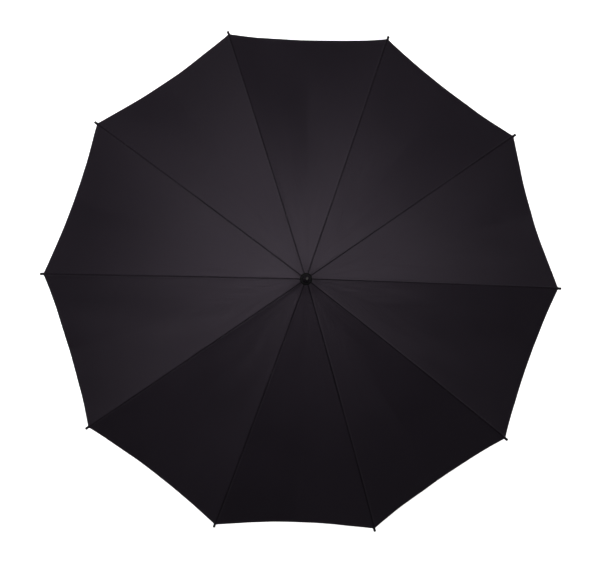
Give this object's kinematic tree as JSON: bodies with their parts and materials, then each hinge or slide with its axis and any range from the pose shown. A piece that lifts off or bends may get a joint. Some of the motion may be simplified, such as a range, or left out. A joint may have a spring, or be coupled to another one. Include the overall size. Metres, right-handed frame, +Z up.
{
  "type": "golf umbrella",
  "caption": "Open straight golf umbrella: ribbed black canopy on a long shaft, with sliding runner, hinged stretchers and a straight foam handle.",
  "frame": {"origin": "middle of the handle's end face", "axes": "+Z up the shaft to the ferrule, +X along rib 1"},
  "size_m": [1.3032, 1.2394, 1.0001],
  "materials": {
    "fabric": "plain-woven polyester, soft sheen",
    "fibreglass": "smooth black pultruded rod",
    "stretcher": "black lacquered steel",
    "plastic": "moulded black plastic",
    "foam": "fine-celled foam",
    "shaft": "black lacquer",
    "bright_steel": "drawn steel",
    "ferrule": "glossy black, worn at the point",
    "felt": "pressed felt"
  },
  "bodies": {
    "shaft": {"shaft_tube": "shaft", "stop_pin": "bright_steel", "handle_end_cap": "plastic", "handle_grip": "foam", "handle_collar": "plastic", "crown_notch": "plastic", "crown_wire": "bright_steel", "canopy_washer": "felt", "top_cap": "plastic", "ferrule": "ferrule"},
    "runner": {"runner": "plastic", "runner_wire": "bright_steel"},
    "top_catch": {"top_catch": "bright_steel"},
    "bottom_catch": {"bottom_catch": "bright_steel"},
    "rib_01": {"rib_01": "fibreglass", "rib_tip_01": "plastic", "canopy_gore_01": "fabric"},
    "stretcher_01": {"stretcher_01": "stretcher"},
    "rib_02": {"rib_02": "fibreglass", "rib_tip_02": "plastic", "canopy_gore_02": "fabric"},
    "stretcher_02": {"stretcher_02": "stretcher"},
    "rib_03": {"rib_03": "fibreglass", "rib_tip_03": "plastic", "canopy_gore_03": "fabric"},
    "stretcher_03": {"stretcher_03": "stretcher"},
    "rib_04": {"rib_04": "fibreglass", "rib_tip_04": "plastic", "canopy_gore_04": "fabric"},
    "stretcher_04": {"stretcher_04": "stretcher"},
    "rib_05": {"rib_05": "fibreglass", "rib_tip_05": "plastic", "canopy_gore_05": "fabric"},
    "stretcher_05": {"stretcher_05": "stretcher"},
    "rib_06": {"rib_06": "fibreglass", "rib_tip_06": "plastic", "canopy_gore_06": "fabric"},
    "stretcher_06": {"stretcher_06": "stretcher"},
    "rib_07": {"rib_07": "fibreglass", "rib_tip_07": "plastic", "canopy_gore_07": "fabric", "tie_strap": "fabric", "tie_snap": "bright_steel"},
    "stretcher_07": {"stretcher_07": "stretcher"},
    "rib_08": {"rib_08": "fibreglass", "rib_tip_08": "plastic", "canopy_gore_08": "fabric"},
    "stretcher_08": {"stretcher_08": "stretcher"},
    "rib_09": {"rib_09": "fibreglass", "rib_tip_09": "plastic", "canopy_gore_09": "fabric"},
    "stretcher_09": {"stretcher_09": "stretcher"},
    "rib_10": {"rib_10": "fibreglass", "rib_tip_10": "plastic", "canopy_gore_10": "fabric"},
    "stretcher_10": {"stretcher_10": "stretcher"}
  },
  "joints": [
    {"name": "runner_slide", "type": "slide", "parent": "shaft", "child": "runner", "axis": [0, 0, 1], "range_m": [-0.37636, 0], "deforming": ["canopy_gore_01", "canopy_gore_02", "canopy_gore_03", "canopy_gore_04", "canopy_gore_05", "canopy_gore_06", "canopy_gore_07", "canopy_gore_08", "canopy_gore_09", "canopy_gore_10", "tie_strap", "top_catch", "bottom_catch"]},
    {"name": "top_catch_press", "type": "hinge", "parent": "shaft", "child": "top_catch", "pos_m": [0.0039, 0.00127, 0.52175], "axis": [0.309, -0.9511, 0], "range_deg": [0, 5.1], "stiffness_Nm_per_rad": 0.9, "springref_deg": -1.72},
    {"name": "bottom_catch_press", "type": "hinge", "parent": "shaft", "child": "bottom_catch", "pos_m": [0.0039, 0.00127, 0.26], "axis": [-0.309, 0.9511, 0], "range_deg": [0, 5.1], "stiffness_Nm_per_rad": 0.9, "springref_deg": -1.72},
    {"name": "rib_01_hinge", "type": "hinge", "parent": "shaft", "child": "rib_01", "pos_m": [0.012, 0, 0.92005], "axis": [0, 1, 0], "range_deg": [0, 60.89]},
    {"name": "stretcher_01_hinge", "type": "hinge", "parent": "rib_01", "child": "stretcher_01", "pos_m": [0.31443, 0, 0.79041], "axis": [0, 1, 0], "range_deg": [-117.44, 0]},
    {"name": "rib_02_hinge", "type": "hinge", "parent": "shaft", "child": "rib_02", "pos_m": [0.00971, 0.00705, 0.92005], "axis": [-0.5878, 0.809, 0], "range_deg": [0, 60.89]},
    {"name": "stretcher_02_hinge", "type": "hinge", "parent": "rib_02", "child": "stretcher_02", "pos_m": [0.25438, 0.18482, 0.79041], "axis": [-0.5878, 0.809, 0], "range_deg": [-117.44, 0]},
    {"name": "rib_03_hinge", "type": "hinge", "parent": "shaft", "child": "rib_03", "pos_m": [0.00371, 0.01141, 0.92005], "axis": [-0.9511, 0.309, 0], "range_deg": [0, 60.89]},
    {"name": "stretcher_03_hinge", "type": "hinge", "parent": "rib_03", "child": "stretcher_03", "pos_m": [0.09716, 0.29904, 0.79041], "axis": [-0.9511, 0.309, 0], "range_deg": [-117.44, 0]},
    {"name": "rib_04_hinge", "type": "hinge", "parent": "shaft", "child": "rib_04", "pos_m": [-0.00371, 0.01141, 0.92005], "axis": [-0.9511, -0.309, 0], "range_deg": [0, 60.89]},
    {"name": "stretcher_04_hinge", "type": "hinge", "parent": "rib_04", "child": "stretcher_04", "pos_m": [-0.09716, 0.29904, 0.79041], "axis": [-0.9511, -0.309, 0], "range_deg": [-117.44, 0]},
    {"name": "rib_05_hinge", "type": "hinge", "parent": "shaft", "child": "rib_05", "pos_m": [-0.00971, 0.00705, 0.92005], "axis": [-0.5878, -0.809, 0], "range_deg": [0, 60.89]},
    {"name": "stretcher_05_hinge", "type": "hinge", "parent": "rib_05", "child": "stretcher_05", "pos_m": [-0.25438, 0.18482, 0.79041], "axis": [-0.5878, -0.809, 0], "range_deg": [-117.44, 0]},
    {"name": "rib_06_hinge", "type": "hinge", "parent": "shaft", "child": "rib_06", "pos_m": [-0.012, 0, 0.92005], "axis": [0, -1, 0], "range_deg": [0, 60.89]},
    {"name": "stretcher_06_hinge", "type": "hinge", "parent": "rib_06", "child": "stretcher_06", "pos_m": [-0.31443, 0, 0.79041], "axis": [0, -1, 0], "range_deg": [-117.44, 0]},
    {"name": "rib_07_hinge", "type": "hinge", "parent": "shaft", "child": "rib_07", "pos_m": [-0.00971, -0.00705, 0.92005], "axis": [0.5878, -0.809, 0], "range_deg": [0, 60.89]},
    {"name": "stretcher_07_hinge", "type": "hinge", "parent": "rib_07", "child": "stretcher_07", "pos_m": [-0.25438, -0.18482, 0.79041], "axis": [0.5878, -0.809, 0], "range_deg": [-117.44, 0]},
    {"name": "rib_08_hinge", "type": "hinge", "parent": "shaft", "child": "rib_08", "pos_m": [-0.00371, -0.01141, 0.92005], "axis": [0.9511, -0.309, 0], "range_deg": [0, 60.89]},
    {"name": "stretcher_08_hinge", "type": "hinge", "parent": "rib_08", "child": "stretcher_08", "pos_m": [-0.09716, -0.29904, 0.79041], "axis": [0.9511, -0.309, 0], "range_deg": [-117.44, 0]},
    {"name": "rib_09_hinge", "type": "hinge", "parent": "shaft", "child": "rib_09", "pos_m": [0.00371, -0.01141, 0.92005], "axis": [0.9511, 0.309, 0], "range_deg": [0, 60.89]},
    {"name": "stretcher_09_hinge", "type": "hinge", "parent": "rib_09", "child": "stretcher_09", "pos_m": [0.09716, -0.29904, 0.79041], "axis": [0.9511, 0.309, 0], "range_deg": [-117.44, 0]},
    {"name": "rib_10_hinge", "type": "hinge", "parent": "shaft", "child": "rib_10", "pos_m": [0.00971, -0.00705, 0.92005], "axis": [0.5878, 0.809, 0], "range_deg": [0, 60.89]},
    {"name": "stretcher_10_hinge", "type": "hinge", "parent": "rib_10", "child": "stretcher_10", "pos_m": [0.25438, -0.18482, 0.79041], "axis": [0.5878, 0.809, 0], "range_deg": [-117.44, 0]}
  ],
  "couplings": [
    {"joint": "rib_01_hinge", "follows": "runner_slide", "rad_per_m": -2.8238},
    {"joint": "stretcher_01_hinge", "follows": "runner_slide", "rad_per_m": 5.4459},
    {"joint": "rib_02_hinge", "follows": "runner_slide", "rad_per_m": -2.8238},
    {"joint": "stretcher_02_hinge", "follows": "runner_slide", "rad_per_m": 5.4459},
    {"joint": "rib_03_hinge", "follows": "runner_slide", "rad_per_m": -2.8238},
    {"joint": "stretcher_03_hinge", "follows": "runner_slide", "rad_per_m": 5.4459},
    {"joint": "rib_04_hinge", "follows": "runner_slide", "rad_per_m": -2.8238},
    {"joint": "stretcher_04_hinge", "follows": "runner_slide", "rad_per_m": 5.4459},
    {"joint": "rib_05_hinge", "follows": "runner_slide", "rad_per_m": -2.8238},
    {"joint": "stretcher_05_hinge", "follows": "runner_slide", "rad_per_m": 5.4459},
    {"joint": "rib_06_hinge", "follows": "runner_slide", "rad_per_m": -2.8238},
    {"joint": "stretcher_06_hinge", "follows": "runner_slide", "rad_per_m": 5.4459},
    {"joint": "rib_07_hinge", "follows": "runner_slide", "rad_per_m": -2.8238},
    {"joint": "stretcher_07_hinge", "follows": "runner_slide", "rad_per_m": 5.4459},
    {"joint": "rib_08_hinge", "follows": "runner_slide", "rad_per_m": -2.8238},
    {"joint": "stretcher_08_hinge", "follows": "runner_slide", "rad_per_m": 5.4459},
    {"joint": "rib_09_hinge", "follows": "runner_slide", "rad_per_m": -2.8238},
    {"joint": "stretcher_09_hinge", "follows": "runner_slide", "rad_per_m": 5.4459},
    {"joint": "rib_10_hinge", "follows": "runner_slide", "rad_per_m": -2.8238},
    {"joint": "stretcher_10_hinge", "follows": "runner_slide", "rad_per_m": 5.4459}
  ]
}
